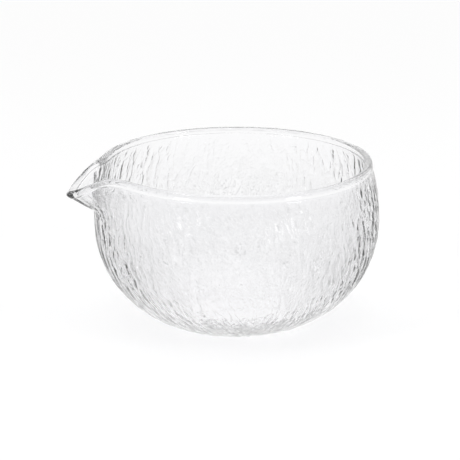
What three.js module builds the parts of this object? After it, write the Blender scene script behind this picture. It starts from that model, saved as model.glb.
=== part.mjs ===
// Glass matcha bowl with a pouring spout, in millimetres with +Z up.
// The flat foot stands on z = 0, centred on the origin, and the spout points to -X.
// The whole bowl is one piece of glass: a turned wall whose section leans out where the spout was pulled.

import * as THREE from "three";
import { mergeVertices } from "three/addons/utils/BufferGeometryUtils.js";

// Bowl
const HEIGHT = 73; // from the table to the top of the rim
const BELLY_DIAMETER = 125; // outside, at the widest place
const BELLY_HEIGHT = 47; // the widest place, above the table
const RIM_DIAMETER = 118.2; // outside of the rim bead
const FOOT_DIAMETER = 44; // flat face that stands on the table
const FLOOR_DIAMETER = 42; // flat part of the floor inside
const FLOOR_SWEEP = 10.4; // how far the wall stays low past the foot and the floor
const BELLY_SWEEP = 34.4; // how far the wall stays steep under the belly
const WALL = 2.6; // thickness of the glass from the belly up
const BASE = 4; // thickness of the glass under the floor
const BEAD_SWELL = 0.3; // how far the melted rim swells past each face of the wall

// Spout
const SPOUT_REACH = 16.2; // how far the tip was pulled out past the round rim
const SPOUT_DIP = 8.7; // how far the tip hangs below the rim
const SPOUT_DEPTH = 18.5; // how far below the rim the wall starts to lean out
const SPOUT_CREASE = 2.5; // height of the bend at that place, each way from its middle
const SPOUT_SPREAD = 10.6; // degrees from the tip at which a third of the reach is left
const SPOUT_TAPER = 1.7; // form of the lip seen from above: 1 is a sharp beak and 2 a round one
const DIP_SPREAD = 8.6; // degrees from the tip at which a third of the dip is left

// Facets
const STEPS_AROUND = 80;
const STEPS_TO_BELLY = 10;
const STEPS_TO_RIM = 16;
const STEPS_OVER_BEAD = 8;
const CROWDING = 0.8; // share by which the steps around are drawn together at the spout

const beadRadius = WALL / 2 + BEAD_SWELL;
const rimCentre = new THREE.Vector2(RIM_DIAMETER / 2 - beadRadius, HEIGHT - beadRadius);
const axisPoint = (height) => new THREE.Vector2(0, height);

// One face of the lower wall: level where it leaves the foot or the floor, and upright at the belly.
function lowerFace(startDiameter, startHeight, bellyRadius) {
  const start = new THREE.Vector2(startDiameter / 2, startHeight);
  const belly = new THREE.Vector2(bellyRadius, BELLY_HEIGHT);
  const nearStart = new THREE.Vector2(start.x + FLOOR_SWEEP, start.y);
  const nearBelly = new THREE.Vector2(belly.x, belly.y - BELLY_SWEEP);
  return new THREE.CubicBezierCurve(start, nearStart, nearBelly, belly).getSpacedPoints(STEPS_TO_BELLY);
}

// Middle of the upper wall, from the belly to the centre of the rim bead, drawing in a little.
function upperMiddle() {
  const belly = new THREE.Vector2((BELLY_DIAMETER - WALL) / 2, BELLY_HEIGHT);
  const upright = new THREE.Vector2(belly.x, (belly.y + rimCentre.y) / 2);
  return new THREE.QuadraticBezierCurve(belly, upright, rimCentre).getSpacedPoints(STEPS_TO_RIM);
}

// Share of the pull at a height: none below the crease, rounded through it, then even up to the rim.
function pullShare(height) {
  const root = HEIGHT - SPOUT_DEPTH;
  const length = rimCentre.y - root;
  const rise = height - root;
  if (rise <= -SPOUT_CREASE) return 0;
  if (rise < SPOUT_CREASE) return (rise + SPOUT_CREASE) ** 2 / (4 * SPOUT_CREASE * length);
  return rise / length;
}

// Moves a point of the plain section out and down by the pull that the glass had at this turn from the tip.
function pulled(point, turn) {
  const degrees = Math.abs(THREE.MathUtils.radToDeg(turn));
  const reach = SPOUT_REACH * Math.exp(-((degrees / SPOUT_SPREAD) ** SPOUT_TAPER));
  const dip = SPOUT_DIP * Math.exp(-((degrees / DIP_SPREAD) ** 2));
  const share = pullShare(point.y);
  return new THREE.Vector2(point.x + reach * share, point.y - dip * share);
}

// Direction of a line of points at one of them, and the same turned to the outside of the wall.
function frameAt(line, index) {
  const ahead = line[Math.min(index + 1, line.length - 1)];
  const behind = line[Math.max(index - 1, 0)];
  const along = ahead.clone().sub(behind).normalize();
  return { along, out: new THREE.Vector2(along.y, -along.x) };
}

// Half section of the glass at a turn from the spout's tip: up the outside, over the bead, down the inside.
function section(turn) {
  const outsideLow = lowerFace(FOOT_DIAMETER, 0, BELLY_DIAMETER / 2);
  const insideLow = lowerFace(FLOOR_DIAMETER, BASE, BELLY_DIAMETER / 2 - WALL);
  const middle = upperMiddle().map((point) => pulled(point, turn));
  const last = middle.length - 1;
  const face = (index, offset) => middle[index].clone().addScaledVector(frameAt(middle, index).out, offset);

  const outside = outsideLow.map((point) => pulled(point, turn));
  const inside = insideLow.map((point) => pulled(point, turn));
  for (let index = 1; index < last; index++) {
    outside.push(face(index, WALL / 2));
    inside.push(face(index, -WALL / 2));
  }

  // The bead is round, and starts and ends where it meets the faces of the wall.
  const { along, out } = frameAt(middle, last);
  const meets = Math.acos(WALL / 2 / beadRadius);
  const bead = [];
  for (let step = 0; step <= STEPS_OVER_BEAD; step++) {
    const angle = THREE.MathUtils.lerp(-meets, Math.PI + meets, step / STEPS_OVER_BEAD);
    const point = middle[last].clone();
    point.addScaledVector(out, beadRadius * Math.cos(angle));
    point.addScaledVector(along, beadRadius * Math.sin(angle));
    bead.push(point);
  }
  return [axisPoint(0), ...outside, ...bead, ...inside.reverse(), axisPoint(BASE)];
}

// The section is turned round the axis, and redrawn at each step for the pull of the spout there.
function bowlGeometry() {
  const turned = new THREE.LatheGeometry(section(Math.PI), STEPS_AROUND);
  const position = turned.getAttribute("position");
  let vertex = 0;
  for (let step = 0; step <= STEPS_AROUND; step++) {
    const even = 2 * Math.PI * ((step % STEPS_AROUND) / STEPS_AROUND - 0.5);
    const turn = even - CROWDING * Math.sin(even);
    for (const point of section(turn)) {
      position.setXYZ(vertex, -point.x * Math.cos(turn), -point.x * Math.sin(turn), point.y);
      vertex++;
    }
  }
  turned.deleteAttribute("normal");
  turned.deleteAttribute("uv");
  const closed = mergeVertices(turned);
  closed.computeVertexNormals();
  return closed;
}

const clearGlass = new THREE.MeshStandardMaterial({
  color: 0xeef1f2,
  roughness: 0.06,
  metalness: 0,
  transparent: true,
  opacity: 0.35,
});

const bowl = new THREE.Mesh(bowlGeometry(), clearGlass);
bowl.name = "glass_bowl";

const object = new THREE.Group();
object.add(bowl);

export default object;
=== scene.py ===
# %% [markdown]
# # A glass matcha bowl with a pouring spout
# The bowl is one piece of clear glass. It is blown into a mould that prints a bark-like relief on the
# outside, its cut rim is melted to a smooth bead, and the spout is pulled out of the rim while the glass
# is soft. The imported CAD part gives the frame: its foot stands on the origin, Z is up and the spout
# points to -X. This lesson models the glass again with the relief that the plain solid leaves out, and
# lights it.

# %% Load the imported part
import math

import bmesh
import bpy
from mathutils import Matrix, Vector, noise
from mathutils.geometry import interpolate_bezier


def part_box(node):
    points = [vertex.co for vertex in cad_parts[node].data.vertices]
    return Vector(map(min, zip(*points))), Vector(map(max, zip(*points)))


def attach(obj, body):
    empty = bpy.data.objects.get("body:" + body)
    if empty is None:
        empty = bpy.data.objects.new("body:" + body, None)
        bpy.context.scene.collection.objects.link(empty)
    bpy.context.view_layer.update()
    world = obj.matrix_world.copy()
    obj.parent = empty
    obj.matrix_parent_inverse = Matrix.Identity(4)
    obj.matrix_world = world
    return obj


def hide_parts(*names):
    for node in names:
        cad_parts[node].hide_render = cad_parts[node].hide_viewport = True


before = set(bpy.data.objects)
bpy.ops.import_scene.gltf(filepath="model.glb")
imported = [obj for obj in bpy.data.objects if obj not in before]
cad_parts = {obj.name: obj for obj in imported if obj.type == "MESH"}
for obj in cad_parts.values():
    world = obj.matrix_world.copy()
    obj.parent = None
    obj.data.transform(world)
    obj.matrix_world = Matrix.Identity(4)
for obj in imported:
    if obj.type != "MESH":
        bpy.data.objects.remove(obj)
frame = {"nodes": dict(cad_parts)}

MM = 0.001
scene = bpy.context.scene
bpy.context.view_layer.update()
print("nodes:", ", ".join(frame["nodes"]))

# %% [markdown]
# ## Camera
# The picture is taken from a little above the rim with a long lens, which keeps the rim's ellipse flat.
# The camera is placed first, by its turn round the bowl, its height angle and its distance, so that every
# later choice can be compared with the photograph at once.

# %% Camera
CAMERA_TURN = math.radians(-15.5)  # round the bowl, from straight in front
CAMERA_RISE = math.radians(17.1)  # above the table
CAMERA_DISTANCE = 0.8
CAMERA_LENS = 142.3
CAMERA_TARGET = Vector((-2.75, 0.76, 40.5)) * MM  # the place in the middle of the picture


def aim(holder, target):
    """Turns a camera or a lamp towards a place."""
    holder.rotation_euler = (target - holder.location).to_track_quat("-Z", "Y").to_euler()


camera = bpy.data.objects.new("camera", bpy.data.cameras.new("camera"))
scene.collection.objects.link(camera)
bpy.context.scene.camera = camera
camera.data.lens = CAMERA_LENS
level = math.cos(CAMERA_RISE)
towards_camera = Vector((
    math.sin(CAMERA_TURN) * level, -math.cos(CAMERA_TURN) * level, math.sin(CAMERA_RISE)))
camera.location = CAMERA_TARGET + CAMERA_DISTANCE * towards_camera
aim(camera, CAMERA_TARGET)
print("camera at", [round(value, 3) for value in camera.location])

# %% [markdown]
# ## Section of the wall
# A glass blower thinks of a bowl as a section turned round an axis, and so does this lesson. The outside
# of the section leaves the foot level, sweeps up to the belly and draws in to the rim. The inside follows
# it at the thickness of the wall. Both are Bezier curves, and the points are spaced evenly along them, so
# that the relief gets the same detail everywhere. The outside has many points for it, and the smooth
# inside far fewer.

# %% Sizes of the wall
bowl_low, bowl_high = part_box("glass_bowl")
BELLY_RADIUS = bowl_high.x
HEIGHT = bowl_high.z
BELLY_HEIGHT = 47 * MM
RIM_RADIUS = 59.1 * MM
FOOT_RADIUS = 22 * MM
FLOOR_RADIUS = 21 * MM
FLOOR_SWEEP = 10.4 * MM  # how far the wall stays low past the foot and the floor
BELLY_SWEEP = 34.4 * MM  # how far it stays steep under the belly
WALL = 2.6 * MM
BASE = 4 * MM
BEAD_RADIUS = 1.6 * MM
RIM_ROOM = 0.2 * MM  # left above the bead for its square corners
rim_centre = Vector((RIM_RADIUS - BEAD_RADIUS, 0, HEIGHT - BEAD_RADIUS - RIM_ROOM))
print("belly", round(2 * BELLY_RADIUS / MM, 1), "mm wide, rim", round(HEIGHT / MM, 1), "mm high")

# %% Curves of the wall
LOWER_STEPS, UPPER_STEPS = 50, 20
INSIDE_LOWER_STEPS, INSIDE_UPPER_STEPS = 7, 9
LOWER_CURVE_POINTS, UPPER_CURVE_POINTS = 400, 200  # before they are spaced evenly


def evenly_spaced(curve, steps):
    """Points along a curve with the same distance from each to the next."""
    travelled = [0.0]
    for behind, ahead in zip(curve, curve[1:]):
        travelled.append(travelled[-1] + (ahead - behind).length)
    spaced, at = [], 0
    for step in range(steps + 1):
        wanted = travelled[-1] * step / steps
        while at < len(curve) - 2 and travelled[at + 1] < wanted:
            at += 1
        share = (wanted - travelled[at]) / (travelled[at + 1] - travelled[at])
        spaced.append(curve[at].lerp(curve[at + 1], share))
    return spaced


def lower_face(start_radius, start_height, belly_radius, steps):
    """One face of the wall from the foot or the floor up to the belly."""
    start = Vector((start_radius, 0, start_height))
    belly = Vector((belly_radius, 0, BELLY_HEIGHT))
    sweep = start + Vector((FLOOR_SWEEP, 0, 0))
    steep = belly - Vector((0, 0, BELLY_SWEEP))
    return evenly_spaced(interpolate_bezier(start, sweep, steep, belly, LOWER_CURVE_POINTS), steps)


def upper_middle(steps):
    """The middle of the wall from the belly up to the centre of the rim bead."""
    belly = Vector((BELLY_RADIUS - WALL / 2, 0, BELLY_HEIGHT))
    upright = Vector((belly.x, 0, (belly.z + rim_centre.z) / 2))
    leave, arrive = belly.lerp(upright, 2 / 3), rim_centre.lerp(upright, 2 / 3)
    return evenly_spaced(interpolate_bezier(belly, leave, arrive, rim_centre, UPPER_CURVE_POINTS), steps)


outside_low = lower_face(FOOT_RADIUS, 0, BELLY_RADIUS, LOWER_STEPS)
inside_low = lower_face(FLOOR_RADIUS, BASE, BELLY_RADIUS - WALL, INSIDE_LOWER_STEPS)
fine_middle = upper_middle(UPPER_STEPS)
coarse_middle = upper_middle(INSIDE_UPPER_STEPS)
print("a point every", round((outside_low[1] - outside_low[0]).length / MM, 2), "mm up the outside")

# %% [markdown]
# ## Pull of the spout
# The spout is not a separate piece: the hot rim is hooked and drawn out, so the wall folds over at a soft
# crease and leans further out the nearer it is to the tip. The fold is written as a share of the pull
# that grows with height, times a bell shape that falls off to both sides. Inside and outside are both set
# off from the folded middle line, so the glass keeps its thickness.

# %% Pull of the spout
TIP_ROOM = 0.35 * MM  # left past the tip for the square corners of the bead
SPOUT_REACH = -bowl_low.x - RIM_RADIUS - TIP_ROOM
SPOUT_DIP = 8.7 * MM
SPOUT_DEPTH = 18.5 * MM  # from the rim down to the crease
SPOUT_CREASE = 2.5 * MM  # half the height of the bend there
SPOUT_SPREAD = math.radians(10.6)
SPOUT_TAPER = 1.7  # 1 is a sharp beak and 2 a round lip
DIP_SPREAD = math.radians(8.6)


def pull_by_height(height):
    """Share of the pull at a height: none under the crease, all of it at the rim."""
    root = HEIGHT - SPOUT_DEPTH
    length = rim_centre.z - root
    rise = height - root
    if rise <= -SPOUT_CREASE:
        return 0.0
    if rise < SPOUT_CREASE:
        return (rise + SPOUT_CREASE) ** 2 / (4 * SPOUT_CREASE * length)
    return rise / length


def pull_by_turn(turn):
    """Share of the pull at an angle from the tip."""
    return math.exp(-((abs(turn) / SPOUT_SPREAD) ** SPOUT_TAPER))


def pulled(point, turn):
    """A point of the plain section, moved out and down by the pull."""
    share = pull_by_height(point.z)
    dip = SPOUT_DIP * math.exp(-((turn / DIP_SPREAD) ** 2))
    return point + Vector((SPOUT_REACH * pull_by_turn(turn), 0, -dip)) * share


print("spout pulled out by", round(SPOUT_REACH / MM, 1), "mm and down by", round(SPOUT_DIP / MM, 1), "mm")

# %% [markdown]
# ## The half section
# The section runs from the middle of the foot up the outside, over the rim and down to the middle of the
# floor. The flame rounds the cut rim to a bead that stands out a little on both sides of the wall and
# stays rather flat on top, so it is drawn as a circle with squared corners. Each point keeps its outward
# direction, because the relief moves it along that.

# %% Faces of the wall
def outward(line, index):
    """Direction along a line at one of its points, and square to it towards the outside."""
    along = (line[min(index + 1, len(line) - 1)] - line[max(index - 1, 0)]).normalized()
    return along, Vector((along.z, 0, -along.x))


def lower_wall(line, rows, side):
    """(point, direction) pairs on a face under the belly: side 1 is the outside and -1 the inside."""
    return [(line[row], side * outward(line, row)[1]) for row in rows]


def upper_wall(middle, rows, side):
    """(point, direction) pairs on a face above the belly, half a wall from its middle line."""
    directions = [side * outward(middle, row)[1] for row in rows]
    return [(middle[row] + out * WALL / 2, out) for row, out in zip(rows, directions)]


foot_corner = outward(outside_low, 0)[1]
print("the outside starts at the foot facing", [round(value, 2) for value in foot_corner])

# %% Rim bead
BEAD_STEPS = 13
BEAD_SQUARENESS = 5  # 2 is a circle, and more is squarer
BEAD_MEETS = math.radians(40)  # how far down its sides the bead meets the wall


def rim_bead(middle):
    """(point, direction) pairs over the melted rim."""
    along, out = outward(middle, len(middle) - 1)
    pairs = []
    for step in range(BEAD_STEPS + 1):
        angle = -BEAD_MEETS + (math.pi + 2 * BEAD_MEETS) * step / BEAD_STEPS
        across, up = math.cos(angle), math.sin(angle)
        direction = out * across + along * up
        squared = abs(across) ** BEAD_SQUARENESS + abs(up) ** BEAD_SQUARENESS
        pairs.append((middle[-1] + direction * BEAD_RADIUS / squared ** (1 / BEAD_SQUARENESS), direction))
    return pairs


bead_top = max(point.z for point, direction in rim_bead(fine_middle))
print("top of the bead", round(bead_top / MM, 2), "mm, in a box", round(HEIGHT / MM, 2), "mm high")


# %% Half section
LAST_OUTSIDE = LOWER_STEPS + UPPER_STEPS  # the last row that the mould touches


def half_section(turn):
    """(point, outward direction) pairs of the whole section at an angle from the tip of the spout."""
    fine = [pulled(point, turn) for point in fine_middle]
    coarse = [pulled(point, turn) for point in coarse_middle]
    return [
        (Vector((0, 0, 0)), Vector((0, 0, -1))),
        *lower_wall(outside_low, range(LOWER_STEPS + 1), 1),
        *upper_wall(fine, range(1, UPPER_STEPS), 1),
        *rim_bead(fine),
        *upper_wall(coarse, range(INSIDE_UPPER_STEPS - 1, 0, -1), -1),
        *lower_wall(inside_low, range(INSIDE_LOWER_STEPS, -1, -1), -1),
        (Vector((0, 0, BASE)), Vector((0, 0, 1))),
    ]


plain_points = [point for point, direction in half_section(math.pi)]
runs = [0.0]
for behind, ahead in zip(plain_points, plain_points[1:]):
    runs.append(runs[-1] + (ahead - behind).length)
lip_run = runs[LAST_OUTSIDE + 1 + BEAD_STEPS // 2]
print("section:", len(plain_points), "points, lip at", round(lip_run / MM, 1), "mm along the outside")

# %% [markdown]
# ## Bark relief
# The mould prints long wavy wrinkles that run up the wall and crowd together towards the foot. They are
# smooth pillows between soft grooves. Noise that is stretched along the wall gives islands and straits,
# and the lines where it is zero become the grooves. A second noise bends the lines so that they wander.
# It starts from a seed, so that every run prints the same bark. The relief is a real displacement of the
# mesh, because glass shows its shape by refraction and at its outline.

# %% Lines of the bark
GROOVE_GAP = 3.6 * MM
GROOVE_LENGTH = 20 * MM
GROOVE_LEAN = 0.2
WANDER_SIZE = 5 * MM
WANDER_BY = 1.8 * MM
RELIEF_SEED = 3

noise.seed_set(RELIEF_SEED)


def unrolled(angle, run):
    """A place on the wall as if it were a straight tube as wide as the belly, leaning with the grooves."""
    angle += GROOVE_LEAN * run / BELLY_RADIUS
    return Vector((BELLY_RADIUS * math.cos(angle), BELLY_RADIUS * math.sin(angle), run))


def grain(angle, run):
    """Wandering noise at a place on the wall. The grooves are the lines where it is zero."""
    place = unrolled(angle, run)
    place += noise.noise_vector(place / WANDER_SIZE) * WANDER_BY
    return noise.noise(Vector((place.x / GROOVE_GAP, place.y / GROOVE_GAP, place.z / GROOVE_LENGTH)))


print("bark:", round(2 * math.pi * BELLY_RADIUS / GROOVE_GAP), "gaps round the belly, seed", RELIEF_SEED)

# %% Depth of the bark
GROOVE_SOFTNESS = 0.45  # of the noise, from a groove to the top of a pillow
RELIEF_DEPTH = 0.5 * MM
RELIEF_SUNK = 0.7  # share of the depth that lies inside the plain wall
SMOOTH_BAND = (2.5 * MM, 9.0 * MM)  # from the lip to where the relief starts and to where it is full
SMOOTH_FOOT = 5 * MM


def smoothstep(low, high, value):
    """0 under the low value and 1 above the high one, with a soft change between."""
    share = min(max((value - low) / (high - low), 0.0), 1.0)
    return share * share * (3 - 2 * share)


def relief_height(groove):
    """How far the bark stands out from the plain wall."""
    pillow = 1 - math.exp(-abs(groove) / GROOVE_SOFTNESS)
    return (pillow - RELIEF_SUNK) * RELIEF_DEPTH


def relief_strength(turn, run, height):
    """How much of the relief is left: it fades at the melted rim, the pulled spout and the flat foot."""
    rim = smoothstep(*SMOOTH_BAND, lip_run - run)
    foot = smoothstep(FOOT_RADIUS, FOOT_RADIUS + SMOOTH_FOOT, run)
    spout = 1 - pull_by_turn(turn) * pull_by_height(height)
    return rim * foot * spout ** 2


print("a groove lies", round(-relief_height(0) / MM, 2), "mm inside the plain wall")

# %% [markdown]
# ## Turning the section
# Spin turns the section's chain of edges round the axis. It slows down as the mesh grows, so only a
# narrow slice is turned step by step, and a second spin copies that slice round the axis. Every vertex
# carries the number of its section point in a layer, so that it can then be moved to the folded section
# of its own angle and out or in by the relief. What the glass needs of the relief later stays on the mesh
# as attributes.

# %% Turn the section into glass
SLICES, STEPS_IN_SLICE = 24, 40
STEPS_AROUND = SLICES * STEPS_IN_SLICE
MERGE_WITHIN = 0.001 * MM
FULL_TURN = 2 * math.pi
slice_angle = FULL_TURN / SLICES

shape = bmesh.new()
row_layer = shape.verts.layers.int.new("row")
relief_layer = shape.verts.layers.float.new("relief")
groove_layer = shape.verts.layers.float.new("groove")
unrolled_layer = shape.verts.layers.float_vector.new("unrolled")
chain = [shape.verts.new(point) for point in plain_points]
for row, vertex in enumerate(chain):
    vertex[row_layer] = row
edges = [shape.edges.new(pair) for pair in zip(chain, chain[1:])]
bmesh.ops.spin(shape, geom=chain + edges, axis=(0, 0, 1), angle=slice_angle, steps=STEPS_IN_SLICE)
first_slice = shape.verts[:] + shape.edges[:] + shape.faces[:]
bmesh.ops.spin(shape, geom=first_slice, axis=(0, 0, 1), angle=FULL_TURN - slice_angle, steps=SLICES - 1,
               use_duplicate=True)
bmesh.ops.remove_doubles(shape, verts=shape.verts, dist=MERGE_WITHIN)
print("turned:", len(shape.verts), "vertices,", len(shape.faces), "faces,",
      sum(not edge.is_manifold for edge in shape.edges), "open edges")

# %% Fold the spout and press the relief
ON_AXIS = (0, len(plain_points) - 1)
sections = {}
for vertex in shape.verts:
    row = vertex[row_layer]
    if row in ON_AXIS:
        continue
    angle = math.atan2(vertex.co.y, vertex.co.x)
    step = round(angle / FULL_TURN * STEPS_AROUND) % STEPS_AROUND
    turn = math.remainder(step / STEPS_AROUND * FULL_TURN - math.pi, FULL_TURN)
    if step not in sections:
        sections[step] = half_section(turn)
    point, direction = sections[step][row]
    vertex[unrolled_layer] = unrolled(angle, runs[row])
    if row <= LAST_OUTSIDE:
        groove = grain(angle, runs[row])
        strength = relief_strength(turn, runs[row], plain_points[row].z)
        vertex[groove_layer] = groove
        vertex[relief_layer] = strength
        point = point + direction * (relief_height(groove) * strength)
    vertex.co = Vector((point.x * math.cos(angle), point.x * math.sin(angle), point.z))
bmesh.ops.recalc_face_normals(shape, faces=shape.faces)
shape.verts.layers.int.remove(row_layer)
print("folded:", len(sections), "sections, volume", round(shape.calc_volume() / MM ** 3 / 1000, 1), "cm3")

# %% Make the piece
mesh = bpy.data.meshes.new("glass_wall")
shape.to_mesh(mesh)
shape.free()
mesh.polygons.foreach_set("use_smooth", [True] * len(mesh.polygons))
bowl = bpy.data.objects.new("glass_wall", mesh)
scene.collection.objects.link(bowl)
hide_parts("glass_bowl")
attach(bowl, "root")
print("glass:", [round(side / MM, 1) for side in bowl.dimensions], "mm")


# %% [markdown]
# ## Shader helpers
# A node tree is easier to read as arithmetic. The small class below wraps one output of a node. Adding or
# multiplying two of them adds the Math node that does it, and every other node comes from one method.

# %% Board and wires
class Board:
    """A node tree to add nodes to."""

    def __init__(self, tree):
        self.tree = tree
        tree.nodes.clear()

    def node(self, kind, settings=None, inputs=None, output=0):
        """Adds a node, sets it up, feeds its sockets and returns one of its outputs."""
        made = self.tree.nodes.new(kind)
        for name, value in (settings or {}).items():
            setattr(made, name, value)
        for name, value in (inputs or {}).items():
            if isinstance(value, Wire):
                self.tree.links.new(value.socket, made.inputs[name])
            else:
                made.inputs[name].default_value = value
        return Wire(self, made.outputs[output]) if made.outputs else None


class Wire:
    """An output socket on a board, with arithmetic."""

    def __init__(self, board, socket):
        self.board = board
        self.socket = socket

    def math(self, operation, first, second=0.0):
        return self.board.node("ShaderNodeMath", {"operation": operation}, {0: first, 1: second})

    def __add__(self, other):
        return self.math("ADD", self, other)

    def __radd__(self, other):
        return self.math("ADD", other, self)

    def __sub__(self, other):
        return self.math("SUBTRACT", self, other)

    def __rsub__(self, other):
        return self.math("SUBTRACT", other, self)

    def __mul__(self, other):
        return self.math("MULTIPLY", self, other)

    def __rmul__(self, other):
        return self.math("MULTIPLY", other, self)

    def __pow__(self, other):
        return self.math("POWER", self, other)

    def __rpow__(self, other):
        return self.math("POWER", other, self)

    def __gt__(self, other):
        return self.math("GREATER_THAN", self, other)

    def __abs__(self):
        return self.math("ABSOLUTE", self)


print("Board adds nodes, and Wire does arithmetic on their outputs")


# %% Shader helpers
def soft_step(board, value, low, high):
    """0 where a value is under the low one and 1 above the high one, with a soft change between."""
    return board.node("ShaderNodeMapRange", {"interpolation_type": "SMOOTHSTEP"}, {
        "Value": value, "From Min": low, "From Max": high})


def new_material(name):
    """A material with an empty board."""
    material = bpy.data.materials.new(name)
    material.use_nodes = True
    return material, Board(material.node_tree)


print("shader helpers ready:", soft_step.__name__, "and", new_material.__name__)

# %% [markdown]
# ## Clear glass
# The glass is clear and nearly without colour, so its look is all refraction. A tint could come from a
# volume that absorbs light, but a faint grey on the surface does the same in a thin wall. The mesh holds
# the pillows and grooves. What is finer comes from a bump: a sharp line in each groove, the wrinkles that
# chilled glass gets in a mould and a very fine grain. All three fade where the relief does, so the rim
# and the lip stay smooth.

# %% Clear glass
GLASS_IOR = 1.5
GLASS_TINT = (0.967, 0.967, 0.974, 1)
LINE_WIDTH, LINE_DEPTH = 0.1, 0.04 * MM  # the width is a share of the groove noise
WRINKLE_SCALE, WRINKLE_STRETCH, WRINKLE_DEPTH = 300, 0.75, 0.25 * MM
WRINKLE_TWIST, WRINKLE_SHARPNESS = 0.6, 0.6
GRAIN_SCALE, GRAIN_DEPTH = 1000, 0.02 * MM
NOISE_MIDDLE = 0.5

glass, board = new_material("clear_glass")
wall_place = board.node("ShaderNodeAttribute", {"attribute_name": "unrolled"}, output="Vector")
groove = board.node("ShaderNodeAttribute", {"attribute_name": "groove"}, output="Fac")
pressed = board.node("ShaderNodeAttribute", {"attribute_name": "relief"}, output="Fac")
stretched = board.node("ShaderNodeMapping", inputs={"Vector": wall_place, "Scale": (1, 1, WRINKLE_STRETCH)})
wrinkles = board.node("ShaderNodeTexNoise", inputs={
    "Vector": stretched, "Scale": WRINKLE_SCALE, "Detail": 0.0, "Distortion": WRINKLE_TWIST})
fine_grain = board.node("ShaderNodeTexNoise", inputs={
    "Vector": wall_place, "Scale": GRAIN_SCALE, "Detail": 1.0})
line = soft_step(board, abs(groove), 0.0, LINE_WIDTH)
folds = abs(wrinkles - NOISE_MIDDLE) ** WRINKLE_SHARPNESS
fine_relief = line * LINE_DEPTH + folds * WRINKLE_DEPTH + fine_grain * GRAIN_DEPTH
bump = board.node("ShaderNodeBump", inputs={
    "Height": fine_relief * pressed, "Distance": 1.0, "Strength": 1.0})
surface = board.node("ShaderNodeBsdfPrincipled", inputs={
    "Base Color": GLASS_TINT, "Roughness": 0.0, "IOR": GLASS_IOR, "Transmission Weight": 1.0,
    "Normal": bump})
board.node("ShaderNodeOutputMaterial", inputs={"Surface": surface})
mesh.materials.append(glass)
print("glass with refractive index", GLASS_IOR, "and", len(glass.node_tree.nodes), "nodes")

# %% [markdown]
# ## Light in the glass
# Clear glass only shows what is round it. On white paper it draws itself in thin dark lines, where light
# was mirrored several times inside the wall on its way to the camera: each time a little is lost, and a
# real studio also has dark corners. A room that is white all round gives no such lines. So the room and
# the paper ask how often the glass mirrored a ray and give less light the more often it was. The first
# time costs next to nothing and the fourth most of it. Light that falls on a matte surface is left alone,
# so the shadow stays pale.

# %% Light in the glass
MIRROR_KEEP, MIRROR_POWER = 0.994, 4  # light kept the first time, and how fast the loss grows
GLASS_KEEP = 0.988  # light kept each time where only the glass takes some


def light_path(board, output):
    """One of the facts that are known about the ray that arrives."""
    return board.node("ShaderNodeLightPath", output=output)


def unscattered(board):
    """1 for what the camera sees directly or by way of glass, 0 for light that falls on a matte surface."""
    return 1 - (light_path(board, "Diffuse Depth") > 0.5)


def mirror_loss(board):
    """Share of the light that is lost because the glass mirrored it, much more for each time."""
    times = light_path(board, "Glossy Depth")
    return (1 - MIRROR_KEEP ** (times ** MIRROR_POWER)) * unscattered(board)


def glass_loss(board):
    """Share of the light that the glass itself swallows, a little for each time that it is mirrored."""
    return (1 - GLASS_KEEP ** light_path(board, "Glossy Depth")) * unscattered(board)


def glass_rays(board):
    """1 for what the camera sees through the glass or mirrored in it."""
    bent = light_path(board, "Is Glossy Ray") + light_path(board, "Is Transmission Ray")
    return (bent > 0.5) * unscattered(board)


print("light left after 1 to 4 mirrorings:",
      [round(MIRROR_KEEP ** times ** MIRROR_POWER, 2) for times in range(1, 5)])

# %% [markdown]
# ## White room
# The room is a white world. Its walls light the bowl with less than white and its ceiling with more, as a
# large soft light from above does, and together they bring the paper just to white. What the camera and
# the glass see of the walls is plain white. The ceiling only fades slowly in the glass, because the thick
# bottom of the bowl shows it after many mirrorings and would turn black.

# %% White room
WALL_LIGHT, BACKDROP_LIGHT, CEILING_LIGHT = 0.55, 1.0, 1.4
CEILING_FROM, CEILING_UNTIL = 0.6, 0.8  # height of a direction, where straight up is 1

scene.view_settings.view_transform = "Standard"
world = bpy.data.worlds.new("studio")
scene.world = world
world.use_nodes = True
board = Board(world.node_tree)
direction = board.node("ShaderNodeTexCoord", output="Generated")
height = board.node("ShaderNodeSeparateXYZ", inputs={"Vector": direction}, output="Z")
shown = light_path(board, "Is Camera Ray") + glass_rays(board)
walls = WALL_LIGHT + shown * (BACKDROP_LIGHT - WALL_LIGHT)
ceiling = soft_step(board, height, CEILING_FROM, CEILING_UNTIL)
from_walls = walls * (1 - ceiling) * (1 - mirror_loss(board))
from_ceiling = CEILING_LIGHT * ceiling * (1 - glass_loss(board))
background = board.node("ShaderNodeBackground", inputs={
    "Color": (1, 1, 1, 1), "Strength": from_walls + from_ceiling})
board.node("ShaderNodeOutputWorld", inputs={"Surface": background})
print("white room: walls", WALL_LIGHT, "and ceiling", CEILING_LIGHT)

# %% [markdown]
# ## Paper
# The bowl stands on a large sheet of white paper. The sheet lies a hair under the foot, because two faces
# in the same place confuse the renderer. The camera sees it as a matte surface with the bowl's soft
# shadow.
#
# Through the wrinkled glass the renderer finds matte paper only with very many samples, so there the
# paper is a plain white glow. On real paper the wrinkles throw a net of light round the foot. A soft
# noise paints the shade of that net into the glow, which gives the clear wall something to bend. Under
# the bowl light is lost slowly, as from the ceiling. Far away the paper glows for the camera too, so that
# it runs into the white room without a horizon.

# %% Sheet of paper
PAPER_SIZE = 8
AIR_GAP = 0.2 * MM

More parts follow.
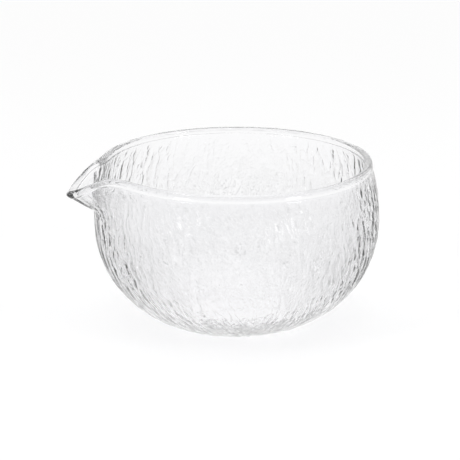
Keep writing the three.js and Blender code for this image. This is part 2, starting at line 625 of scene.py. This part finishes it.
ground = bmesh.new()
bmesh.ops.create_grid(ground, x_segments=1, y_segments=1, size=PAPER_SIZE / 2)
bmesh.ops.translate(ground, verts=ground.verts, vec=(0, 0, -AIR_GAP))
floor_mesh = bpy.data.meshes.new("floor")
ground.to_mesh(floor_mesh)
ground.free()
floor = bpy.data.objects.new("floor", floor_mesh)
scene.collection.objects.link(floor)
print("paper", PAPER_SIZE, "m square,", round(AIR_GAP / MM, 1), "mm under the foot")

# %% Paper as the glass shows it
UNDER_BOWL_FROM, UNDER_BOWL_UNTIL = 45 * MM, 70 * MM
NET_FROM, NET_UNTIL = 40 * MM, 70 * MM
NET_FADES_FROM, NET_FADES_UNTIL = 100 * MM, 350 * MM
NET_SCALE, NET_LOW, NET_HIGH, NET_SHADE = 150, 0.5, 0.62, 0.36

paper, board = new_material("white_paper")
place = board.node("ShaderNodeTexCoord", output="Object")
distance = board.node("ShaderNodeVectorMath", {"operation": "LENGTH"}, {0: place}, output="Value")
away = soft_step(board, distance, UNDER_BOWL_FROM, UNDER_BOWL_UNTIL)
lost = away * mirror_loss(board) + (1 - away) * glass_loss(board)
round_foot = soft_step(board, distance, NET_FROM, NET_UNTIL)
round_foot = round_foot * (1 - soft_step(board, distance, NET_FADES_FROM, NET_FADES_UNTIL))
# painted shade: a noise net darkens the paper's white glow round the foot, in place of the light and shade
# that the wrinkled glass throws
painted_shade_noise = board.node("ShaderNodeTexNoise", inputs={"Vector": place, "Scale": NET_SCALE, "Detail": 0.0})
net = soft_step(board, painted_shade_noise, NET_LOW, NET_HIGH)
dimmed = 1 - (1 - lost) * (1 - NET_SHADE * round_foot * net)
white = board.node("ShaderNodeEmission", inputs={"Color": (1, 1, 1, 1)})
black = board.node("ShaderNodeEmission", inputs={"Color": (0, 0, 0, 1)})
in_glass = board.node("ShaderNodeMixShader", inputs={0: dimmed, 1: white, 2: black})
print("net of light from", round(NET_FROM / MM), "to", round(NET_FADES_UNTIL / MM), "mm round the foot")

# %% Paper as the camera sees it
PAPER_WHITE = 0.97
FAR_FROM, FAR_UNTIL = 0.5, 1.5

matte = board.node("ShaderNodeBsdfDiffuse", inputs={"Color": (PAPER_WHITE, PAPER_WHITE, PAPER_WHITE, 1)})
far = soft_step(board, distance, FAR_FROM, FAR_UNTIL)
glowing = glass_rays(board) + light_path(board, "Is Camera Ray") * far
seen = board.node("ShaderNodeMixShader", inputs={0: glowing, 1: matte, 2: in_glass})
board.node("ShaderNodeOutputMaterial", inputs={"Surface": seen})
paper.cycles.emission_sampling = "NONE"  # the glow is only looked at and lights nothing
floor_mesh.materials.append(paper)
print("paper glows white for the camera from", FAR_UNTIL, "m on")

# %% [markdown]
# ## Softboxes
# Two small softboxes in front, one to each side, put the bright glints on the wrinkles. They are weak,
# because the room already lights the bowl and stronger ones would wash out the paper.

# %% Softboxes
SOFTBOX_SIDE = 0.22
SOFTBOXES = {  # place and power
    "softbox_right": ((0.55, -0.75, 0.55), 0.8),
    "softbox_left": ((-0.75, -0.35, 0.65), 0.7),
}
for name, (spot, power) in SOFTBOXES.items():
    lamp = bpy.data.lights.new(name, "AREA")
    lamp.size = SOFTBOX_SIDE
    lamp.energy = power
    holder = bpy.data.objects.new(name, lamp)
    holder.location = spot
    aim(holder, CAMERA_TARGET)
    scene.collection.objects.link(holder)
print("softboxes:", ", ".join(SOFTBOXES))

# %% [markdown]
# ## Light paths
# A ray can be mirrored and bent many times inside the wrinkled wall before it leaves, so it is followed
# further than usual. Otherwise the folds of the rim turn black. Cycles also blurs glass that is seen by
# the floor, which loses light on its way through the wall and gives clear glass a dark shadow, so that
# filter is off.

# %% Light paths
BOUNCES = 64

scene.cycles.max_bounces = BOUNCES
scene.cycles.transmission_bounces = BOUNCES
scene.cycles.glossy_bounces = BOUNCES
scene.cycles.blur_glossy = 0.0
print("light is followed for", BOUNCES, "bounces")
